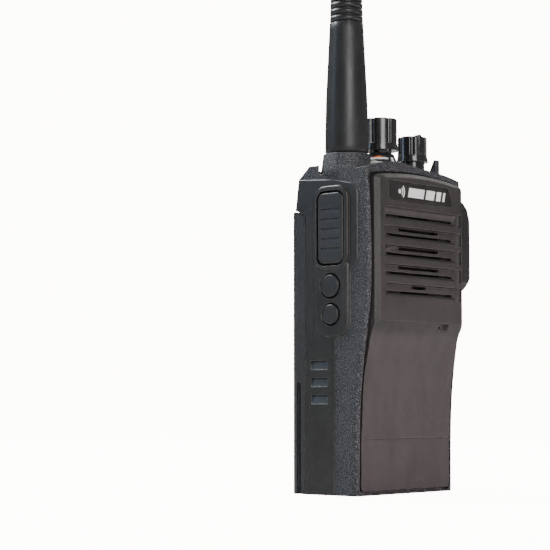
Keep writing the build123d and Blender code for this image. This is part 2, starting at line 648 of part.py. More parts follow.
def rear_chassis():
    """Cast channel: the web lies behind the board, the flanges carry the battery grooves."""
    y0, y1 = CHASSIS_Y
    body = block(-26.1, 26.1, y0, SEAM_Y, FLOOR + 0.2, CAVITY_Z - 0.2)
    body -= block(-TRAY_HALF_W - SLIDE_GAP, TRAY_HALF_W + SLIDE_GAP, y1, SEAM_Y + 1, 0, TRAY_Z[1] + 0.6)
    for side in (-1, 1):
        x0, x1 = sorted((side * (TRAY_HALF_W - 1), side * (TRAY_HALF_W + 1.9)))
        body -= block(x0, x1, 8.9, 10.9, 0, RAIL_Z[1] + 1.0)
        body -= block(*sorted((side * 25.3, side * 27)), 7.5, 8.5, 0, CAVITY_Z)
    for x, z in CHASSIS_SCREWS:
        body -= rod_y(x, z, 0, SEAM_Y + 1, 1.05)
        body -= rod_y(x, z, 10.4, SEAM_Y + 1, 1.55)
    body -= block(-27, 27, 7.5, 8.5, CAVITY_Z - 1.0, CAVITY_Z)
    return body - block(-5.3, 5.3, 5.0, y1 + 0.1, 0, 4.6)


def chassis_seal():
    """Rubber cord in the groove round the chassis edge."""
    ring = block(-26.35, 26.35, 7.55, 8.45, FLOOR + 0.3, CAVITY_Z - 0.05)
    ring -= block(-25.35, 25.35, 7, 9, 0, CAVITY_Z - 0.95)
    return ring


def chassis_screws():
    return [rod_y(x, z, -1.0, 10.4, 1.0) + rod_y(x, z, 10.4, 11.6, 1.5) for x, z in CHASSIS_SCREWS]


def radio_contacts():
    return [block(x - 1.2, x + 1.2, CHASSIS_Y[1], TRAY_Y - 0.12, 9.0, 17.0) for x in CONTACT_X]


# ---------------------------------------------------------------- battery

def battery_outline():
    """Side view of the battery case, (y, z): its top corner follows the housing's overhang."""
    y0 = SEAM_Y + 0.4
    face = outline((y0, 0), (BACK_Y, 0), (BACK_Y, 101.2), (19.2, 103.0), (16.9, 103.0), (y0, 101.2))
    return rounded(face, [((y0, 101.2), STEP_R - 0.4)])


def battery_case():
    y0 = SEAM_Y + 0.4
    width = HALF_W - 0.2
    body = slab_x(battery_outline(), -width, width)
    corners = [e for e in body.edges() if abs(abs(e.center().X) - width) < 0.01
               and abs(e.center().Y - BACK_Y) < 0.01 and e.length > 50]
    body = fillet(corners, BATTERY_CORNER_R)
    body -= block(-26.6, 26.6, y0 - 1, 18.8, 2.2, 96.6)
    for side in (-1, 1):
        # guide groove for the charger, round at its upper end
        x0, x1 = sorted((side * (width - 1.3), side * (width + 1)))
        body -= block(x0, x1, 14.6, 16.9, -1, GUIDE_Z - 1.15)
        body -= rod_x(15.75, GUIDE_Z - 1.15, x0, x1, 1.15)
    for x in (-8.0, 0.0, 8.0):
        body -= rod_y(x, 12.0, 18, BACK_Y + 1, 2.0)
    face = Pos(0, sum(LABEL_Z) / 2) * RectangleRounded(LABEL_W, LABEL_Z[1] - LABEL_Z[0], 1.5)
    body -= slab_y(face, BACK_Y - 0.4, BACK_Y + 1)
    # room for the latch and its finger lip
    body -= block(-9.3, 9.3, y0 - 1, BACK_Y + 1, -1, 4.9)
    return body


def battery_inner_cover():
    y0 = SEAM_Y + 0.4
    body = block(-26.5, 26.5, y0, y0 + 1.4, 2.3, 96.5)
    body += block(-TRAY_HALF_W, TRAY_HALF_W, TRAY_Y, y0, *TRAY_Z)
    body -= block(-TRAY_HALF_W + 1.4, TRAY_HALF_W - 1.4, TRAY_Y + 1.2, y0 + 2, 7.0, TRAY_Z[1] - 2.0)
    for side in (-1, 1):
        x0, x1 = sorted((side * (TRAY_HALF_W - 0.5), side * (TRAY_HALF_W + 1.5)))
        body += block(x0, x1, 9.2, 10.6, *RAIL_Z)
    for x in CONTACT_X:
        body -= block(x - 1.6, x + 1.6, TRAY_Y - 1, TRAY_Y + 2, 9.0, 17.0)
    # roof and cheeks round the latch, with the post that its spring pushes on
    body += block(-10.2, 10.2, y0, 18.6, 2.3, 6.2)
    body -= block(-9.3, 9.3, TRAY_Y - 1, 20, -1, 4.9)
    return body + block(-3.0, 3.0, 15.2, 16.4, 0.8, 5.0)


def battery_cells():
    cells = []
    for z0 in (9.0, 51.6):
        cell = block(-17.5, 17.5, 9.6, 18.4, z0, z0 + 41.8)
        cells.append(fillet(cell.edges().filter_by(Axis.Z), 3.0))
    return cells


def battery_board():
    return block(-17.0, 17.0, 10.4, 18.2, 7.4, 8.4)


def battery_contacts():
    return [block(x - 1.5, x + 1.5, TRAY_Y + 0.02, TRAY_Y + 0.9, 9.1, 16.9) for x in CONTACT_X]


def battery_label():
    """Blank rating plate in a shallow recess."""
    face = Pos(0, sum(LABEL_Z) / 2) * RectangleRounded(LABEL_W - 0.4, LABEL_Z[1] - LABEL_Z[0] - 0.4, 1.3)
    return slab_y(face, BACK_Y - 0.4, BACK_Y - 0.15)


def charging_contacts():
    return [rod_y(x, 12.0, 18.81, BACK_Y - 0.35, 1.9) for x in (-8.0, 0.0, 8.0)]


def battery_latch():
    """Sliding catch: a tooth at the front, a finger lip at the back."""
    body = block(-9.0, 9.0, 8.4, 10.4, 0.7, 4.3)
    body += block(-5.0, 5.0, 6.0, 8.5, 0.7, 2.9)
    body += block(-9.0, -6.0, 10.3, 18.8, 0.7, 4.3)
    body += block(6.0, 9.0, 10.3, 18.8, 0.7, 4.3)
    lip = block(-9.0, 9.0, 17.2, BACK_Y - 0.8, 0.7, 4.3)
    for x in (-5.0, -2.5, 0.0, 2.5, 5.0):
        lip -= block(x - 0.5, x + 0.5, BACK_Y - 1.3, BACK_Y, 0, 5)
    return body + lip


def latch_spring():
    """Small compression spring between the catch and its post."""
    wire = Helix(pitch=1.0, height=4.0, radius=1.3)
    section = Plane(origin=wire @ 0, z_dir=wire % 0) * Circle(0.2)
    coil = sweep(section, path=wire)
    return Pos(0, 10.75, 2.5) * Rot(-90, 0, 0) * coil


# ---------------------------------------------------------------- belt clip

def clip_bracket():
    body = block(-10.6, 10.6, 15.2, 16.6, 105.2, 113.8)
    for side in (-1, 1):
        x0, x1 = sorted((side * 9.3, side * 10.6))
        ear = slab_x(outline((16.5, 105.2), (22.4, 106.4), (22.4, 110.8), (16.5, 113.8)), x0, x1)
        body += ear + rod_x(CLIP_PIVOT[0], CLIP_PIVOT[1], x0, x1, 2.2)
    body -= rod_x(CLIP_PIVOT[0], CLIP_PIVOT[1], -11, 11, CLIP_PIN_R)
    for x in (-6.0, 6.0):
        body -= rod_y(x, 108.6, 15, 17, 1.05)
    return body


def clip_pin():
    return rod_x(CLIP_PIVOT[0], CLIP_PIVOT[1], -10.9, 10.9, CLIP_PIN_R)


def clip_screws():
    """Pan-head screws with a cross recess."""
    screws = []
    for x in (-6.0, 6.0):
        screw = rod_y(x, 108.6, 11.5, 16.6, 1.0) + rod_y(x, 108.6, 16.6, 17.7, 1.9)
        screw -= block(x - 1.1, x + 1.1, 17.1, 18, 108.35, 108.85)
        screw -= block(x - 0.25, x + 0.25, 17.1, 18, 107.5, 109.7)
        screws.append(screw)
    return screws


def clip_spring():
    """Torsion spring round the pin, in the gap of the arm's barrel."""
    wire = Helix(pitch=1.0, height=5.0, radius=1.75)
    section = Plane(origin=wire @ 0, z_dir=wire % 0) * Circle(0.3)
    coil = sweep(section, path=wire)
    return Pos(-2.5, *CLIP_PIVOT) * Rot(0, 90, 0) * coil


def belt_clip():
    """Sprung arm: thumb tab above the pivot, a bow that leaves room for a belt, a curled tip."""
    y, z = CLIP_PIVOT
    inner = Polyline((y - 0.6, 117.5), (y - 0.6, 104.5), (25.3, 99.0), (25.3, 62.0), (21.6, 50.0),
                     (22.6, CLIP_TIP_Z))
    outer = Polyline((24.4, CLIP_TIP_Z - 0.3), (23.5, 50.0), (27.1, 61.6), (27.1, 100.0), (y + 1.4, 106.0),
                     (y + 1.4, 117.5))
    ends = [Line(inner @ 1, outer @ 0), Line(outer @ 1, inner @ 0)]
    face = make_face([inner, outer] + ends)
    body = slab_x(face, -CLIP_HALF_W, CLIP_HALF_W)
    body = fillet(body.edges().filter_by(Axis.X), 0.6)
    body += rod_x(y, z, -CLIP_HALF_W, CLIP_HALF_W, 2.1)
    body -= rod_x(y, z, -12, 12, CLIP_PIN_R + SHAFT_GAP)
    body -= block(-3.2, 3.2, 19, y + 2.6, z - 2.7, z + 2.7)
    for index in range(4):
        body -= rod_x(y + 1.75, 110.6 + 1.8 * index, -7.5, 7.5, 0.6)
    return body


def write(name, shape):
    if isinstance(shape, list):
        shape = Compound(children=shape)
    shape.label = name
    export_step(shape, os.path.join("parts", name + ".step"))


os.makedirs("parts", exist_ok=True)

housing = front_housing()
for lug in hinge_lugs():
    housing += lug
write("front_housing", housing)
write("speaker_panel", speaker_panel())
write("badge_plate", badge_plate())
write("left_side_frame", left_side_frame())
write("right_side_frame", right_side_frame())
write("speaker_felt", speaker_felt())
write("speaker_frame", speaker_frame())
write("speaker_magnet", speaker_magnet())
write("speaker_cone", speaker_cone())
write("microphone", microphone())
write("microphone_boot", microphone_boot())
write("ptt_key", ptt_key())
for name, (y, z, r) in BUTTONS.items():
    write(name, side_button(y, z, r))
write("ptt_seal", ptt_seal())
write("side_key_board", side_key_board())
write("side_switches", side_switches())
for name, (z, r) in JACKS.items():
    write(name, jack(z, r))
write("accessory_cover", accessory_cover())
write("accessory_hinge_pin", accessory_hinge_pin())
write("volume_knob", volume_knob())
write("channel_knob", channel_knob())
write("volume_shaft", shaft(0, VOLUME_KNOB_Z[1] - 2.6))
write("channel_shaft", shaft(CHANNEL_X, CHANNEL_KNOB_Z[1] - 2.6))
write("volume_control", rotary_body(0))
write("channel_selector", rotary_body(CHANNEL_X))
write("control_nuts", control_nuts())
write("scale_ring", scale_ring())
write("status_lens", status_lens())
write("status_lamp", status_lamp())
write("antenna_socket", antenna_socket())
write("antenna_plug", antenna_plug())
write("antenna_sheath", antenna_sheath())
write("antenna_coil", antenna_coil())
write("main_board", main_board())
write("rf_shield", rf_shield())
write("rear_chassis", rear_chassis())
write("chassis_seal", chassis_seal())
write("chassis_screws", chassis_screws())
write("radio_contacts", radio_contacts())
write("battery_case", battery_case())
write("battery_inner_cover", battery_inner_cover())
write("battery_cells", battery_cells())
write("battery_board", battery_board())
write("battery_contacts", battery_contacts())
write("battery_label", battery_label())
write("charging_contacts", charging_contacts())
write("battery_latch", battery_latch())
write("latch_spring", latch_spring())
write("clip_bracket", clip_bracket())
write("clip_pin", clip_pin())
write("clip_screws", clip_screws())
write("clip_spring", clip_spring())
write("belt_clip", belt_clip())
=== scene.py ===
import math

import bmesh
import bpy
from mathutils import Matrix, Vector


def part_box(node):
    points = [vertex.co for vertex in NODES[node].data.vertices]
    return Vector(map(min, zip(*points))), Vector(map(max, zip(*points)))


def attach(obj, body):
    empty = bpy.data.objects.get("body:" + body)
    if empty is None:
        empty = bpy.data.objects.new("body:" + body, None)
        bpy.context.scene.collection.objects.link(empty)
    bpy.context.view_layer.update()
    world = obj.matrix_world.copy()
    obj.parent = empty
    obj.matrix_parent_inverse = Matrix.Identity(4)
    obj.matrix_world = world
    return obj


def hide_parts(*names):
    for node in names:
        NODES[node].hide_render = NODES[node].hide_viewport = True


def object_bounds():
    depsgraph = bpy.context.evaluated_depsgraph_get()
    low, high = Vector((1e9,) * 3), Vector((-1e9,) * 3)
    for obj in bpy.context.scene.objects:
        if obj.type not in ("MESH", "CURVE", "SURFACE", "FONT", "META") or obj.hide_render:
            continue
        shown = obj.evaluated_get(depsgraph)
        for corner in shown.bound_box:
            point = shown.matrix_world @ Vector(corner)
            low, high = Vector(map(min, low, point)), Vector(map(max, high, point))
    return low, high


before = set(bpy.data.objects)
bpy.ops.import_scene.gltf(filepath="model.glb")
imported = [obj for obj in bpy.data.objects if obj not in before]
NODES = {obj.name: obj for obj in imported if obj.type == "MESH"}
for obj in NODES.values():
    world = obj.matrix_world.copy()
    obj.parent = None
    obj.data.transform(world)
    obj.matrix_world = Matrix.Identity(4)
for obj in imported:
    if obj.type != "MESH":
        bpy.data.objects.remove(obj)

CAD_LOW, CAD_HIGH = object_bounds()

MM = 0.001               # one millimetre in scene units
PER_MM = 1000.0          # texture scale that gives one cell a millimetre

# Camera: the photograph's viewing angle, below the middle of the casing and looking slightly up
CAMERA_AT = (-0.5215, -0.4029, 0.0339)
CAMERA_YAW = 48.88       # degrees from +Y towards +X
CAMERA_PITCH = 4.06      # degrees upwards
CAMERA_LENS = 115.8      # mm
CAMERA_SENSOR = 36.0     # mm
CAMERA_NEAR = 0.01

# Stage
STAGE_COLOUR = (1.0, 0.90, 0.84, 1.0)
BACKDROP_GLOW = 14.0     # strength that the camera sees behind the object
FLOOR_GLOW = 14.0        # strength that the camera sees on the floor
FLOOR_RADIUS = 6.0
FLOOR_DROP = 0.2 * MM    # gap under the object, so that the faces don't coincide
FLOOR_DARK = (0.62, 0.615, 0.605)
FLOOR_PALE = (0.66, 0.655, 0.645)
SKY_COLOUR = (1.0, 0.985, 0.97, 1.0)
SKY_HEIGHTS = (-0.6, 0.9)    # direction's Z at which the light is weakest and strongest
SKY_STRENGTHS = (0.05, 0.42)
MIDDLE_Z = 0.09          # height the lamps circle and point at

# Copies of the outer nodes
WELD = 0.003 * MM        # points of a CAD mesh nearer than this are one point
FLAT_ANGLE = 0.1         # faces that turn by fewer degrees are one face
SHARP_ANGLE = 26.0       # edges that turn by more degrees stay sharp

# Printed marks
PRINT_LIFT = 0.04 * MM   # thickness of printed marks
MARK_INSET = 1.45 * MM   # from the badge's lower and upper edges
DOT_X = -13.0 * MM
DOT_R = 0.85 * MM
WAVE_RADII = (1.75 * MM, 2.75 * MM)
WAVE_HALF = 0.28 * MM    # half of a wave arc's thickness
WAVE_SPAN = 48           # degrees each way from level
BAR_LEFT = -8.2 * MM
BAR_LEAN = 0.9 * MM      # how far the top of a bar leans to the right
BAR_WIDTHS = (9.5, 5.2, 2.8, 1.4)   # in mm
BAR_GAP = 1.2 * MM
SCALE_R = (8.2 * MM, 5.0 * MM)   # radii of the scale ring's cone, foot and top
SCALE_FOOT = 1.6 * MM    # height of the cone's foot over the ring's underside
SCALE_STEPS = 24

# Wear that every moulded surface has: dust, and worn pale edges that are partly painted edge highlights
DUST_COLOUR = (0.16, 0.155, 0.15)
DUST_AMOUNT = 0.25
RUB_SHEEN_WIDTH_MM = 0.5
COAT_ROUGHNESS = 0.12

# ---------------------------------------------------------------- node helpers


class Shader:
    """A small wrapper that adds nodes to a material and links them."""

    def __init__(self, name):
        self.material = bpy.data.materials.new(name)
        self.material.use_nodes = True
        self.tree = self.material.node_tree
        self.bsdf = next(n for n in self.tree.nodes if n.type == "BSDF_PRINCIPLED")
        self.place = self.add("ShaderNodeTexCoord").outputs["Object"]

    def add(self, kind, **settings):
        node = self.tree.nodes.new(kind)
        for key, value in settings.items():
            setattr(node, key, value)
        return node

    def link(self, source, target):
        self.tree.links.new(source, target)

    def fill(self, node, **values):
        for key, value in values.items():
            socket = node.inputs[key.replace("_", " ")]
            if isinstance(value, bpy.types.NodeSocket):
                self.link(value, socket)
            else:
                socket.default_value = value
        return node

    def noise(self, size_mm, detail=2.0, rough=0.5, stretch=None):
        """Noise whose features are about size_mm across; stretch squeezes it along X, Y and Z."""
        place = self.place
        if stretch:
            mapping = self.fill(self.add("ShaderNodeMapping"), Vector=place, Scale=stretch)
            place = mapping.outputs["Vector"]
        node = self.fill(self.add("ShaderNodeTexNoise"), Vector=place, Scale=PER_MM / size_mm,
                         Detail=detail, Roughness=rough)
        return node.outputs["Fac"]

    def cells(self, size_mm):
        node = self.fill(self.add("ShaderNodeTexVoronoi", feature="SMOOTH_F1"), Vector=self.place,
                         Scale=PER_MM / size_mm)
        return node.outputs["Distance"]

    def remap(self, value, low, high, to_low=0.0, to_high=1.0):
        node = self.add("ShaderNodeMapRange")
        self.link(value, node.inputs["Value"])
        for key, number in (("From Min", low), ("From Max", high), ("To Min", to_low), ("To Max", to_high)):
            node.inputs[key].default_value = number
        return node.outputs["Result"]

    def math(self, operation, a, b):
        node = self.add("ShaderNodeMath", operation=operation)
        for socket, value in zip(node.inputs, (a, b)):
            if isinstance(value, bpy.types.NodeSocket):
                self.link(value, socket)
            else:
                socket.default_value = value
        return node.outputs[0]

    def mix(self, factor, a, b):
        """Colour mix of a and b; either may be an RGB tuple or a socket."""
        node = self.add("ShaderNodeMix", data_type="RGBA")
        self.link(factor, node.inputs["Factor"])
        for socket, value in ((node.inputs[6], a), (node.inputs[7], b)):
            if isinstance(value, bpy.types.NodeSocket):
                self.link(value, socket)
            else:
                socket.default_value = (*value, 1.0)
        return node.outputs[2]

    def edge(self, radius_mm):
        """How far the surface normal turns within radius_mm: about 1 on sharp edges."""
        bevel = self.fill(self.add("ShaderNodeBevel", samples=4), Radius=radius_mm * MM)
        geometry = self.add("ShaderNodeNewGeometry")
        dot = self.add("ShaderNodeVectorMath", operation="DOT_PRODUCT")
        self.link(bevel.outputs["Normal"], dot.inputs[0])
        self.link(geometry.outputs["Normal"], dot.inputs[1])
        return self.remap(dot.outputs["Value"], 0.995, 0.86)

    def bump(self, height, depth_mm, strength=1.0, round_mm=0.0):
        """Bump of depth_mm; round_mm softens the light on hard edges first."""
        node = self.fill(self.add("ShaderNodeBump"), Height=height, Distance=depth_mm * MM,
                         Strength=strength)
        if round_mm:
            bevel = self.fill(self.add("ShaderNodeBevel", samples=6), Radius=round_mm * MM)
            self.link(bevel.outputs["Normal"], node.inputs["Normal"])
        return node.outputs["Normal"]

    def surface(self, **values):
        self.fill(self.bsdf, **values)
        return self.material


def plastic(name, base, rough=(0.35, 0.5), grain_mm=0.3, grain_depth=0.03, glint_speck=0.0, wear_and_sheen=0.8,
            round_mm=0.25, coat=0.0, metallic=0.0, warm=(1.0, 1.0, 1.0)):
    """Moulded plastic or rubber: grain, cloudy gloss, faint scuffs, dust and worn pale edges that are partly
    painted edge highlights.

    glint_speck is the share of pale specks, partly pale grains and partly painted glints; wear_and_sheen is
    the strength of the worn pale edges, which are partly painted edge highlights, and warm their tint.
    """
    s = Shader(name)
    cloud = s.noise(22.0, detail=4.0, rough=0.6)
    smear = s.noise(6.0, detail=5.0, rough=0.65, stretch=(1.0, 1.0, 0.35))
    grain = s.noise(grain_mm)
    pale = tuple(min(1.0, c * 1.9 + 0.012) for c in base)
    # colour of the worn pale edges: partly worn plastic, partly a painted edge highlight
    rubbed_sheen = tuple(min(1.0, c * 3.5 * w + 0.075) for c, w in zip(base, warm))
    colour = s.mix(s.remap(cloud, 0.35, 0.75, 0.0, 0.45), base, pale)
    # pale specks: partly pale grains in the plastic, partly painted glints of the textured surface
    if glint_speck:
        glint_fleck = tuple(min(1.0, c * 10.0 + 0.025) for c in base)
        glint = s.remap(s.noise(grain_mm * 0.9, detail=1.0, rough=0.4), 0.50, 0.68, 0.0, glint_speck)
        colour = s.mix(glint, colour, glint_fleck)
    dust = s.remap(s.noise(1.1, detail=6.0, rough=0.75), 0.66, 0.78, 0.0, DUST_AMOUNT)
    colour = s.mix(dust, colour, DUST_COLOUR)
    # worn pale edges, patchy along their length: partly worn plastic, partly painted edge highlights
    patchy = s.remap(s.noise(2.5, detail=4.0, rough=0.6), 0.30, 0.6, wear_and_sheen * 0.4, wear_and_sheen)
    colour = s.mix(s.math("MULTIPLY", s.edge(RUB_SHEEN_WIDTH_MM), patchy), colour, rubbed_sheen)
    gloss = s.math("ADD", s.remap(cloud, 0.3, 0.7, rough[0], rough[1]),
                   s.remap(smear, 0.45, 0.75, -0.03, 0.07))
    gloss = s.math("ADD", gloss, s.math("MULTIPLY", dust, 0.5))
    normal = s.bump(grain, grain_depth, round_mm=round_mm)
    return s.surface(Base_Color=colour, Roughness=gloss, Normal=normal, Metallic=metallic, Coat_Weight=coat,
                     Coat_Roughness=COAT_ROUGHNESS, Specular_IOR_Level=0.5)


def metal(name, base, rough=(0.2, 0.4), brush=(1.0, 1.0, 1.0), wear_and_sheen=0.2):
    """Bare or plated metal with cloudy tarnish, fine tool lines and brighter edges."""
    s = Shader(name)
    cloud = s.noise(5.0, detail=4.0, rough=0.6)
    lines = s.noise(0.5, detail=3.0, rough=0.6, stretch=brush)
    dull = tuple(c * 0.72 for c in base)
    bright = tuple(min(1.0, c * 1.5 + 0.05) for c in base)
    colour = s.mix(s.remap(cloud, 0.3, 0.75, 0.0, 0.6), base, dull)
    colour = s.mix(s.math("MULTIPLY", s.edge(0.2), wear_and_sheen), colour, bright)
    normal = s.bump(lines, 0.01, strength=0.6, round_mm=0.12)
    return s.surface(Base_Color=colour, Roughness=s.remap(lines, 0.3, 0.7, *rough), Normal=normal,
                     Metallic=1.0)


def frosted_lens():
    s = Shader("status_lens_frosted")
    cloud = s.noise(3.0, detail=3.0, rough=0.6)
    colour = s.mix(s.remap(cloud, 0.3, 0.7), (0.78, 0.79, 0.76), (0.66, 0.68, 0.67))
    normal = s.bump(s.noise(0.25), 0.02, round_mm=0.2)
    return s.surface(Base_Color=colour, Roughness=s.remap(cloud, 0.3, 0.7, 0.25, 0.4), Normal=normal,
                     Transmission_Weight=0.25, IOR=1.49)


def woven_felt():
    s = Shader("speaker_felt_weave")
    threads = [s.fill(s.add("ShaderNodeTexWave", bands_direction=way), Vector=s.place,
                      Scale=900.0).outputs["Fac"] for way in ("X", "Z")]
    weave = s.math("MULTIPLY", *threads)
    colour = s.mix(weave, (0.006, 0.006, 0.007), (0.022, 0.022, 0.024))
    return s.surface(Base_Color=colour, Roughness=0.9, Normal=s.bump(weave, 0.06))


def circuit_board():
    s = Shader("circuit_board_green")
    traces = s.remap(s.cells(2.2), 0.18, 0.3)
    colour = s.mix(traces, (0.02, 0.16, 0.06), (0.01, 0.08, 0.03))
    return s.surface(Base_Color=colour, Roughness=s.remap(traces, 0.0, 1.0, 0.3, 0.45),
                     Normal=s.bump(traces, 0.03, strength=0.6, round_mm=0.1))


def paint(node, material):
    """Give every slot of a CAD node this material."""
    slots = NODES[node].material_slots
    if not slots:
        NODES[node].data.materials.append(material)
    for slot in slots:
        slot.material = material


# ---------------------------------------------------------------- materials

def make_materials():
    return {
        "housing": plastic(
            "housing_textured_black", (0.0110, 0.0120, 0.0145), (0.30, 0.42),
            grain_mm=0.46, grain_depth=0.34, glint_speck=1.0, round_mm=0.35),
        "panel": plastic(
            "speaker_panel_satin", (0.0195, 0.0180, 0.0178), (0.46, 0.56),
            grain_mm=0.22, grain_depth=0.03, glint_speck=0.10, warm=(1.05, 1.0, 0.97)),
        "frame": plastic(
            "side_frame_semi_gloss", (0.0125, 0.0124, 0.0118), (0.34, 0.44),
            grain_mm=0.35, grain_depth=0.008),
        "badge": plastic(
            "badge_satin_black", (0.0110, 0.0106, 0.0108), (0.34, 0.42),
            grain_mm=0.30, grain_depth=0.006),
        "key": plastic(
            "key_slate_rubber", (0.0130, 0.0137, 0.0150), (0.36, 0.46),
            grain_mm=0.18, grain_depth=0.012, wear_and_sheen=0.5),
        "knob": plastic(
            "knob_gloss_black", (0.0090, 0.0090, 0.0100), (0.16, 0.26),
            grain_mm=0.30, grain_depth=0.006, coat=0.35),
        "scale": plastic(
            "scale_ring_black", (0.0100, 0.0100, 0.0110), (0.30, 0.40),
            grain_mm=0.30, grain_depth=0.008),
        "antenna": plastic(
            "antenna_satin_rubber", (0.0100, 0.0105, 0.0120), (0.38, 0.46),
            grain_mm=0.22, grain_depth=0.012),
        "battery": plastic(
            "battery_fine_texture", (0.0110, 0.0115, 0.0130), (0.36, 0.48),
            grain_mm=0.26, grain_depth=0.05, glint_speck=0.3),
        "inner": plastic(
            "inner_black_plastic", (0.0110, 0.0110, 0.0110), (0.5, 0.65),
            grain_mm=0.30, grain_depth=0.02),
        "clip": plastic(
            "belt_clip_satin", (0.0110, 0.0113, 0.0125), (0.34, 0.46),
            grain_mm=0.30, grain_depth=0.02),
        "silicone": plastic(
            "silicone_black", (0.010, 0.010, 0.010), (0.55, 0.7),
            grain_mm=0.20, grain_depth=0.01),
        "sleeve": plastic(
            "cell_sleeve_blue", (0.05, 0.09, 0.22), (0.3, 0.45),
            grain_mm=0.40, grain_depth=0.01),
        "magnet": plastic(
            "magnet_ferrite", (0.05, 0.05, 0.052), (0.4, 0.6),
            grain_mm=0.20, grain_depth=0.02, metallic=0.6),
        "steel": metal("steel_bare", (0.62, 0.62, 0.64)),
        "dark_steel": metal("steel_black_oxide", (0.05, 0.05, 0.055), rough=(0.3, 0.45)),
        "brass": metal("brass_turned", (0.72, 0.50, 0.22), rough=(0.2, 0.35), brush=(1.0, 1.0, 14.0)),
        "gold": metal("gold_plated_contact", (0.86, 0.63, 0.26), rough=(0.16, 0.3)),
        "cast": metal("chassis_cast", (0.30, 0.31, 0.33), rough=(0.4, 0.6)),
        "foil": metal("label_foil_blank", (0.16, 0.163, 0.168), rough=(0.3, 0.45), brush=(0.3, 1.0, 6.0)),
        "white_print": plastic(
            "print_white", (0.93, 0.93, 0.92), (0.35, 0.5),
            grain_mm=0.30, grain_depth=0.004, wear_and_sheen=0.0),
        "orange_print": plastic(
            "print_orange", (0.75, 0.16, 0.03), (0.35, 0.5),
            grain_mm=0.30, grain_depth=0.004, wear_and_sheen=0.0),
        "lens": frosted_lens(),
        "felt": woven_felt(),
        "board": circuit_board(),
    }


# Nodes that are seen from outside are replaced by copies of themselves: node, body, width in mm of the
# edge rounding. A fine mesh holds the rounding back, so the knobs and the bracket have almost none.
OUTSIDE = {
    "housing": [("front_housing", "radio", 0.0)],
    "panel": [("speaker_panel", "radio", 0.0)],
    "frame": [("left_side_frame", "radio", 0.0), ("right_side_frame", "radio", 0.12)],
    "badge": [("badge_plate", "radio", 0.08)],
    "key": [("ptt_key", "ptt", 0.10), ("upper_side_button", "upper_button", 0.0),
            ("lower_side_button", "lower_button", 0.0), ("accessory_cover", "cover", 0.0)],
    "knob": [("volume_knob", "volume", 0.08), ("channel_knob", "channel", 0.08)],
    "scale": [("scale_ring", "radio", 0.10)],
    "antenna": [("antenna_sheath", "antenna", 0.0)],
    "battery": [("battery_case", "battery", 0.18)],
    "inner": [("battery_latch", "latch", 0.15)],
    "clip": [("belt_clip", "clip", 0.0)],
    "dark_steel": [("clip_bracket", "radio", 0.12)],
    "foil": [("battery_label", "battery", 0.0)],
}
# Nodes that keep their CAD mesh
INSIDE = {
    "inner": ["battery_inner_cover", "earphone_jack", "microphone_jack", "speaker_cone"],
    "silicone": ["microphone_boot", "ptt_seal", "chassis_seal"],
    "sleeve": ["battery_cells"],
    "magnet": ["speaker_magnet"],
    "steel": ["speaker_frame", "microphone", "side_switches", "accessory_hinge_pin", "volume_control",
              "channel_selector", "control_nuts", "volume_shaft", "channel_shaft", "clip_pin", "clip_spring",
              "latch_spring", "antenna_coil", "rf_shield"],
    "dark_steel": ["chassis_screws", "clip_screws"],
    "brass": ["antenna_socket", "antenna_plug"],
    "gold": ["radio_contacts", "battery_contacts", "charging_contacts"],
    "cast": ["rear_chassis"],
    "lens": ["status_lens", "status_lamp"],
    "felt": ["speaker_felt"],
    "board": ["main_board", "side_key_board", "battery_board"],
}


# ---------------------------------------------------------------- shapes

def add_piece(name, mesh, body, material):
    """A new visible piece that rides on a body."""
    piece = bpy.data.objects.new(name, mesh)
    bpy.context.scene.collection.objects.link(piece)
    mesh.materials.clear()
    mesh.materials.append(material)
    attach(piece, body)
    return piece


def smooth(piece):
    """Shade curved faces smooth, keep hard edges sharp, and let large flat faces stay flat."""
    mesh = piece.data
    mesh.shade_smooth()
    mesh.set_sharp_from_angle(angle=math.radians(SHARP_ANGLE))
    weights = piece.modifiers.new("weights", "WEIGHTED_NORMAL")
    weights.keep_sharp = True
    graph = bpy.context.evaluated_depsgraph_get()
    piece.data = bpy.data.meshes.new_from_object(piece.evaluated_get(graph))
    piece.modifiers.clear()


def soften(node, body, material, edge_mm):
    """Replace a CAD node by a welded, smooth-shaded copy, with rounded edges where edge_mm isn't 0."""
    source = NODES[node]
    mesh = source.data.copy()
    mesh.transform(source.matrix_world)
    shape = bmesh.new()
    shape.from_mesh(mesh)
    bmesh.ops.remove_doubles(shape, verts=shape.verts, dist=WELD)
    bmesh.ops.dissolve_limit(shape, angle_limit=math.radians(FLAT_ANGLE), verts=shape.verts,
                             edges=shape.edges)
    if edge_mm:
        limit = math.radians(SHARP_ANGLE)
        sharp = [e for e in shape.edges if e.is_manifold and e.calc_face_angle() > limit]
        bmesh.ops.bevel(shape, geom=sharp, offset=edge_mm * MM, segments=2, profile=0.5, affect="EDGES",
                        clamp_overlap=True)
    shape.to_mesh(mesh)
    shape.free()
    piece = add_piece(node + ".finished", mesh, body, material)
    smooth(piece)
    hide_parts(node)


def prism(shape, outline, thickness):
    """Add a flat solid to a bmesh: the outline's points, pushed along thickness."""
    base = [shape.verts.new(point) for point in outline]
    lifted = [shape.verts.new(Vector(point) + Vector(thickness)) for point in outline]
    shape.faces.new(list(reversed(base)))
    shape.faces.new(lifted)
    for i in range(len(base)):
        j = (i + 1) % len(base)
        shape.faces.new((base[i], base[j], lifted[j], lifted[i]))


def finish_marks(name, shape, body, material):
    """Turn a bmesh of printed marks into a piece with its own slot."""
    bmesh.ops.recalc_face_normals(shape, faces=shape.faces)
    mesh = bpy.data.meshes.new(name)
    shape.to_mesh(mesh)
    shape.free()
    piece = add_piece(name, mesh, body, material)


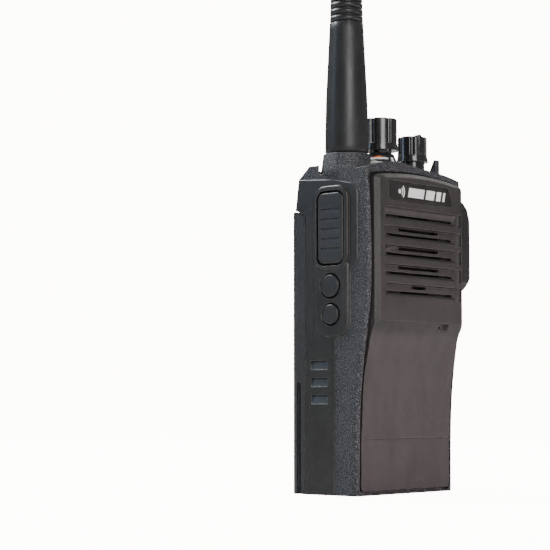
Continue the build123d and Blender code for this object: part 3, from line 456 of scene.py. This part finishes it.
def badge_mark(material):
    """A plain printed mark: a dot with two wave arcs, then a row of slanted bars."""
    low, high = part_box("badge_plate")
    face_y = low[1]
    lift = (0.0, -PRINT_LIFT, 0.0)
    z0 = low[2] + MARK_INSET
    z1 = high[2] - MARK_INSET
    middle = (z0 + z1) / 2

    def round_dot(radius, angles):
        return [(DOT_X + radius * math.cos(a), face_y, middle + radius * math.sin(a)) for a in angles]

    shape = bmesh.new()
    prism(shape, round_dot(DOT_R, [math.radians(15 * i) for i in range(24)]), lift)
    angles = [math.radians(-WAVE_SPAN + 8 * i) for i in range(13)]
    for r in WAVE_RADII:
        prism(shape, round_dot(r + WAVE_HALF, angles) + round_dot(r - WAVE_HALF, reversed(angles)), lift)
    left = BAR_LEFT
    for width in BAR_WIDTHS:
        right = left + width * MM
        prism(shape, [(left, face_y, z0), (right, face_y, z0), (right + BAR_LEAN, face_y, z1),
                      (left + BAR_LEAN, face_y, z1)], lift)
        left = right + BAR_GAP
    finish_marks("badge_mark", shape, "radio", material)


def scale_arc(name, start, end, height_at, material):
    """A printed band on the conical scale ring, from start to end in degrees.

    height_at gives its lower and upper height in mm over the cone's foot.
    """
    low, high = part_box("scale_ring")
    foot = low[2] + SCALE_FOOT
    shape = bmesh.new()

    def on_cone(angle, z, out):
        share = (z - foot) / (high[2] - foot)
        r = SCALE_R[0] + (SCALE_R[1] - SCALE_R[0]) * share + out
        return (r * math.cos(angle), r * math.sin(angle), z)

    rows = []
    for i in range(SCALE_STEPS + 1):
        share = i / SCALE_STEPS
        angle = math.radians(start + (end - start) * share)
        z0, z1 = (foot + h * MM for h in height_at(share))
        rows.append([shape.verts.new(on_cone(angle, z, out)) for z, out in
                     ((z0, -PRINT_LIFT), (z0, PRINT_LIFT), (z1, PRINT_LIFT), (z1, -PRINT_LIFT))])
    for a, b in zip(rows, rows[1:]):
        for k in range(4):
            shape.faces.new((a[k], b[k], b[(k + 1) % 4], a[(k + 1) % 4]))
    shape.faces.new(rows[0])
    shape.faces.new(list(reversed(rows[-1])))
    finish_marks(name, shape, "radio", material)


def crescent(low, high, swell):
    """Heights of a band that is thicker in the middle by swell."""
    return lambda share: (low, high + swell * math.sin(math.pi * share))


# ---------------------------------------------------------------- stage

def make_camera():
    data = bpy.data.cameras.new("camera")
    data.lens = CAMERA_LENS
    data.sensor_width = CAMERA_SENSOR
    data.clip_start = CAMERA_NEAR
    camera = bpy.data.objects.new("camera", data)
    camera.location = CAMERA_AT
    camera.rotation_euler = (math.radians(90.0 + CAMERA_PITCH), 0.0, -math.radians(CAMERA_YAW))
    bpy.context.scene.collection.objects.link(camera)
    bpy.context.scene.camera = camera


def make_floor():
    """A pale round floor that the camera sees as white."""
    mesh = bpy.data.meshes.new("floor")
    shape = bmesh.new()
    bmesh.ops.create_circle(shape, cap_ends=True, radius=FLOOR_RADIUS, segments=96)
    shape.to_mesh(mesh)
    shape.free()
    floor = bpy.data.objects.new("floor", mesh)
    floor.location.z = CAD_LOW[2] - FLOOR_DROP
    s = Shader("floor_pale")
    tone = s.remap(s.noise(300.0, detail=3.0), 0.3, 0.7)
    seen = s.add("ShaderNodeLightPath").outputs["Is Camera Ray"]
    s.surface(Base_Color=s.mix(tone, FLOOR_DARK, FLOOR_PALE), Roughness=0.8, Emission_Color=STAGE_COLOUR,
              Emission_Strength=s.math("MULTIPLY", seen, FLOOR_GLOW))
    mesh.materials.append(s.material)
    bpy.context.scene.collection.objects.link(floor)


def softbox(name, at, target, size, power, colour):
    """A rectangular lamp, size in metres and power in watts, which the camera doesn't see."""
    data = bpy.data.lights.new(name, "AREA")
    data.shape = "RECTANGLE"
    data.size, data.size_y = size
    data.energy = power
    data.color = colour
    lamp = bpy.data.objects.new(name, data)
    lamp.location = at
    lamp.visible_camera = False
    lamp.rotation_euler = (Vector(target) - Vector(at)).to_track_quat("-Z", "Y").to_euler()
    bpy.context.scene.collection.objects.link(lamp)


def make_world():
    """Dim light on the object, stronger from above, and a bright plain backdrop behind it."""
    world = bpy.data.worlds.new("studio")
    world.use_nodes = True
    tree = world.node_tree

    def link(source, target):
        tree.links.new(source, target)

    place = tree.nodes.new("ShaderNodeTexCoord")
    height = tree.nodes.new("ShaderNodeSeparateXYZ")
    link(place.outputs["Generated"], height.inputs["Vector"])
    rise = tree.nodes.new("ShaderNodeMapRange")
    for key, number in zip(("From Min", "From Max", "To Min", "To Max"), SKY_HEIGHTS + SKY_STRENGTHS):
        rise.inputs[key].default_value = number
    link(height.outputs["Z"], rise.inputs["Value"])
    dim = tree.nodes["Background"]
    dim.inputs["Color"].default_value = SKY_COLOUR
    link(rise.outputs["Result"], dim.inputs["Strength"])
    bright = tree.nodes.new("ShaderNodeBackground")
    bright.inputs["Color"].default_value = STAGE_COLOUR
    bright.inputs["Strength"].default_value = BACKDROP_GLOW
    path = tree.nodes.new("ShaderNodeLightPath")
    mix = tree.nodes.new("ShaderNodeMixShader")
    link(path.outputs["Is Camera Ray"], mix.inputs["Fac"])
    link(dim.outputs["Background"], mix.inputs[1])
    link(bright.outputs["Background"], mix.inputs[2])
    link(mix.outputs["Shader"], tree.nodes["World Output"].inputs["Surface"])
    bpy.context.scene.world = world


def lamp_place(azimuth, elevation, distance):
    """A point round the casing's middle: degrees from +X, degrees above the level, metres away."""
    a = math.radians(azimuth)
    e = math.radians(elevation)
    return (distance * math.cos(e) * math.cos(a), distance * math.cos(e) * math.sin(a),
            MIDDLE_Z + distance * math.sin(e))


def make_lights():
    middle = (0.0, 0.0, MIDDLE_Z)
    softbox("key_front", lamp_place(-124, 22, 1.3), middle, (0.55, 0.7), 11.0, (1.0, 0.975, 0.96))
    softbox("sky_left", lamp_place(138, 19, 1.2), (0.0, 0.0, 0.2), (0.12, 0.40), 1.25, (0.52, 0.75, 1.0))
    softbox("rim_back", lamp_place(98, 50, 1.2), middle, (0.45, 0.5), 17.0, (0.97, 0.99, 1.0))
    softbox("rim_right", lamp_place(18, 40, 1.2), middle, (0.4, 0.4), 2.5, (1.0, 0.98, 0.96))
    softbox("glow_low", (0.15, -0.22, 0.01), (0.0, -0.012, 0.02), (0.12, 0.05), 0.25, (1.0, 0.72, 0.75))


# ---------------------------------------------------------------- scene

make_camera()
make_floor()
make_lights()
make_world()
materials = make_materials()
for kind, names in INSIDE.items():
    for node_name in names:
        paint(node_name, materials[kind])
for kind, entries in OUTSIDE.items():
    for node_name, body_name, edge_width in entries:
        soften(node_name, body_name, materials[kind], edge_width)
badge_mark(materials["white_print"])
scale_arc("scale_level_white", -190, -112, crescent(4.9, 5.5, 0.3), materials["white_print"])
scale_arc("scale_level_orange", -172, -130, crescent(5.6, 5.7, 0.6), materials["orange_print"])
scale_arc("scale_end_white", -101, -88, crescent(4.2, 5.8, 0.0), materials["white_print"])
